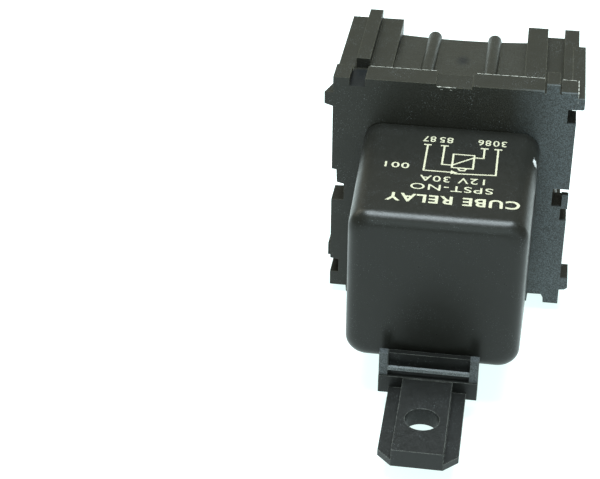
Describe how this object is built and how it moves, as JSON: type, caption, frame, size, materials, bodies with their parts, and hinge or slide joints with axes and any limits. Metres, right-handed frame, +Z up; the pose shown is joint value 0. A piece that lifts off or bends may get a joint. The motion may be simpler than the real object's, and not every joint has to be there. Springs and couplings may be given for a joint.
{
  "type": "plug in relay",
  "caption": "Black cube relay with a screw-hole bracket, plugged into a square modular socket with a grid of blade cavities.",
  "frame": {"origin": "centre of the whole part's box, on its underside", "axes": "+Z up, +X along the socket's face to the right as seen from the relay, +Y into the socket; the relay pulls out along -Y"},
  "size_m": [0.0428, 0.0788, 0.0431],
  "materials": {
    "socket_plastic": "black glass-filled nylon, fine moulded grain, satin",
    "cover_plastic": "black nylon, smooth satin with a slight sheen",
    "bracket_plastic": "black nylon, satin, speckled ribs",
    "base_plastic": "black phenolic, matt",
    "epoxy": "black potting resin, glossy",
    "tinned_brass": "tin-plated brass, satin",
    "plated_steel": "zinc-plated soft steel, satin",
    "bobbin_nylon": "natural nylon, matt",
    "copper_wire": "enamelled copper, glossy",
    "copper_strip": "bare copper strip, satin",
    "spring_bronze": "phosphor bronze, satin",
    "contact_silver": "silver alloy, satin"
  },
  "bodies": {
    "socket": {"socket_housing": "socket_plastic", "receptacle_30": "tinned_brass", "receptacle_87": "tinned_brass", "receptacle_85": "tinned_brass", "receptacle_86": "tinned_brass"},
    "relay": {"relay_cover": "cover_plastic", "relay_base": "base_plastic", "base_seal": "epoxy", "mounting_bracket": "bracket_plastic", "blade_30": "tinned_brass", "blade_87": "tinned_brass", "blade_85": "tinned_brass", "blade_86": "tinned_brass", "yoke": "plated_steel", "core": "plated_steel", "bobbin": "bobbin_nylon", "winding": "copper_wire", "coil_leads": "copper_wire", "return_spring": "spring_bronze", "fixed_contact_arm": "copper_strip", "fixed_contact_tip": "contact_silver", "rest_stop": "tinned_brass", "braid": "copper_wire"},
    "armature": {"armature": "plated_steel", "contact_spring": "spring_bronze", "moving_contact": "contact_silver", "armature_rivets": "tinned_brass"}
  },
  "joints": [
    {"name": "relay_unplug", "type": "slide", "parent": "socket", "child": "relay", "axis": [0, -1, 0], "range_m": [0, 0.014]},
    {"name": "armature_swing", "type": "hinge", "parent": "relay", "child": "armature", "pos_m": [0, -0.01077, 0.0096], "axis": [-1, 0, 0], "range_deg": [0, 2.8], "stiffness_Nm_per_rad": 0.02, "springref_deg": -11.46}
  ]
}
